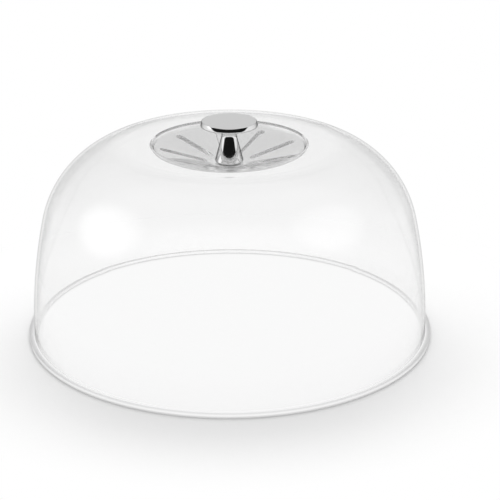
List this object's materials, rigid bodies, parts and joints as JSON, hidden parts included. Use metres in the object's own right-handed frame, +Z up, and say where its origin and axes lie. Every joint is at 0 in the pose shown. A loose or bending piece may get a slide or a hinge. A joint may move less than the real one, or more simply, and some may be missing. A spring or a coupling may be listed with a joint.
{
  "type": "food cover",
  "caption": "Clear domed food cover with a foot ring, a fluted grey dish sunk in its crown and a metal knob standing in the dish.",
  "frame": {"origin": "centre of the foot ring's underside", "axes": "+Z up along the axis of the dome and knob, -Y towards the picture's camera, +X to its right"},
  "size_m": [0.29, 0.29, 0.155],
  "materials": {
    "clear_dome": "clear",
    "smoke_dish": "clear, faintly grey",
    "polished_knob": "polished",
    "satin_disc": "satin",
    "white_plastic": "matte",
    "bright_steel": "bright zinc"
  },
  "bodies": {
    "root": {"dome": "clear_dome", "crown_dish": "smoke_dish", "knob_body": "polished_knob", "knob_disc": "satin_disc", "seat_washer": "white_plastic", "flat_washer": "bright_steel", "spring_washer": "bright_steel", "knob_screw": "bright_steel"}
  },
  "joints": []
}
